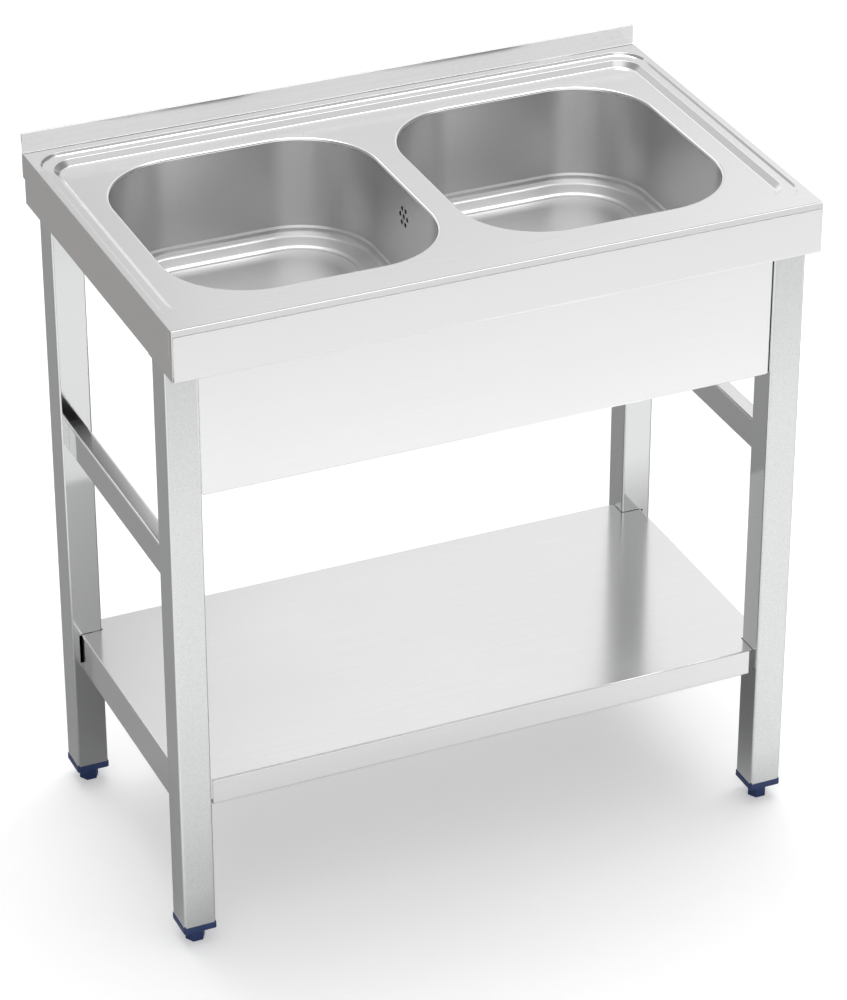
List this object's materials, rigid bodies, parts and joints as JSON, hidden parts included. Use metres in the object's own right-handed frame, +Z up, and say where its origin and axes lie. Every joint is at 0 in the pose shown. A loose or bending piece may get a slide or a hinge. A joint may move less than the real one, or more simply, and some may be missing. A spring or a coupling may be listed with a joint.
{
  "type": "kitchen sink unit",
  "caption": "Free-standing stainless steel sink unit: pressed top with side-by-side bowls and an upstand, square-tube frame, front panel, bottom shelf and levelling feet.",
  "frame": {"origin": "on the floor, under the middle of the unit's bounding box", "axes": "+X to the right along the front, +Y to the wall, +Z up"},
  "size_m": [0.8, 0.5, 0.8685],
  "materials": {
    "brushed_steel": "fine satin grain, stainless sheet and tube",
    "bowl_steel": "satin, deep-drawn stainless",
    "polished_steel": "polished stainless",
    "fastener_steel": "plain stainless fasteners",
    "navy_plastic": "moulded, satin",
    "grey_plastic": "moulded waste fittings",
    "black_rubber": "moulded rubber"
  },
  "bodies": {
    "frame": {"bowl_left": "bowl_steel", "bowl_right": "bowl_steel", "front_apron": "brushed_steel", "front_panel": "brushed_steel", "gusset_front_left": "brushed_steel", "gusset_front_right": "brushed_steel", "gusset_rear_left": "brushed_steel", "gusset_rear_right": "brushed_steel", "leg_cap_front_left": "navy_plastic", "leg_cap_front_right": "navy_plastic", "leg_cap_rear_left": "navy_plastic", "leg_cap_rear_right": "navy_plastic", "leg_front_left": "brushed_steel", "leg_front_right": "brushed_steel", "leg_rear_left": "brushed_steel", "leg_rear_right": "brushed_steel", "overflow_cover_left": "grey_plastic", "overflow_cover_right": "grey_plastic", "overflow_pipe_left": "grey_plastic", "overflow_pipe_right": "grey_plastic", "overflow_seal_left": "black_rubber", "overflow_seal_right": "black_rubber", "panel_screw_lower_left": "fastener_steel", "panel_screw_lower_right": "fastener_steel", "panel_screw_upper_left": "fastener_steel", "panel_screw_upper_right": "fastener_steel", "rear_crossbar": "brushed_steel", "shelf": "brushed_steel", "shelf_bearer_left": "brushed_steel", "shelf_bearer_right": "brushed_steel", "shelf_stiffener": "brushed_steel", "side_apron_left": "brushed_steel", "side_apron_right": "brushed_steel", "side_rail_left": "brushed_steel", "side_rail_right": "brushed_steel", "sink_top": "brushed_steel", "top_stud_front_left": "fastener_steel", "top_stud_front_right": "fastener_steel", "top_stud_rear_left": "fastener_steel", "top_stud_rear_right": "fastener_steel", "waste_back_nut_left": "grey_plastic", "waste_back_nut_right": "grey_plastic", "waste_body_left": "polished_steel", "waste_body_right": "polished_steel", "waste_washer_left": "black_rubber", "waste_washer_right": "black_rubber"},
    "stud_front_left": {"foot_stud_front_left": "fastener_steel"},
    "foot_front_left": {"foot_front_left": "navy_plastic"},
    "stud_front_right": {"foot_stud_front_right": "fastener_steel"},
    "foot_front_right": {"foot_front_right": "navy_plastic"},
    "stud_rear_left": {"foot_stud_rear_left": "fastener_steel"},
    "foot_rear_left": {"foot_rear_left": "navy_plastic"},
    "stud_rear_right": {"foot_stud_rear_right": "fastener_steel"},
    "foot_rear_right": {"foot_rear_right": "navy_plastic"},
    "strainer_left": {"strainer_left": "polished_steel"},
    "strainer_right": {"strainer_right": "polished_steel"}
  },
  "joints": [
    {"name": "foot_front_left_travel", "type": "slide", "parent": "frame", "child": "stud_front_left", "axis": [0, 0, -1], "range_m": [0, 0.025]},
    {"name": "foot_front_left_turn", "type": "hinge", "parent": "stud_front_left", "child": "foot_front_left", "pos_m": [-0.3785, -0.197, 0.01], "axis": [0, 0, -1], "range_deg": [0, 6010]},
    {"name": "foot_front_right_travel", "type": "slide", "parent": "frame", "child": "stud_front_right", "axis": [0, 0, -1], "range_m": [0, 0.025]},
    {"name": "foot_front_right_turn", "type": "hinge", "parent": "stud_front_right", "child": "foot_front_right", "pos_m": [0.3785, -0.197, 0.01], "axis": [0, 0, -1], "range_deg": [0, 6010]},
    {"name": "foot_rear_left_travel", "type": "slide", "parent": "frame", "child": "stud_rear_left", "axis": [0, 0, -1], "range_m": [0, 0.025]},
    {"name": "foot_rear_left_turn", "type": "hinge", "parent": "stud_rear_left", "child": "foot_rear_left", "pos_m": [-0.3785, 0.18, 0.01], "axis": [0, 0, -1], "range_deg": [0, 6010]},
    {"name": "foot_rear_right_travel", "type": "slide", "parent": "frame", "child": "stud_rear_right", "axis": [0, 0, -1], "range_m": [0, 0.025]},
    {"name": "foot_rear_right_turn", "type": "hinge", "parent": "stud_rear_right", "child": "foot_rear_right", "pos_m": [0.3785, 0.18, 0.01], "axis": [0, 0, -1], "range_deg": [0, 6010]},
    {"name": "strainer_left_lift", "type": "slide", "parent": "frame", "child": "strainer_left", "axis": [0, 0, 1], "range_m": [0, 0.22]},
    {"name": "strainer_right_lift", "type": "slide", "parent": "frame", "child": "strainer_right", "axis": [0, 0, 1], "range_m": [0, 0.22]}
  ],
  "couplings": [
    {"joint": "foot_front_left_turn", "follows": "foot_front_left_travel", "rad_per_m": 4188.8},
    {"joint": "foot_front_right_turn", "follows": "foot_front_right_travel", "rad_per_m": 4188.8},
    {"joint": "foot_rear_left_turn", "follows": "foot_rear_left_travel", "rad_per_m": 4188.8},
    {"joint": "foot_rear_right_turn", "follows": "foot_rear_right_travel", "rad_per_m": 4188.8}
  ]
}
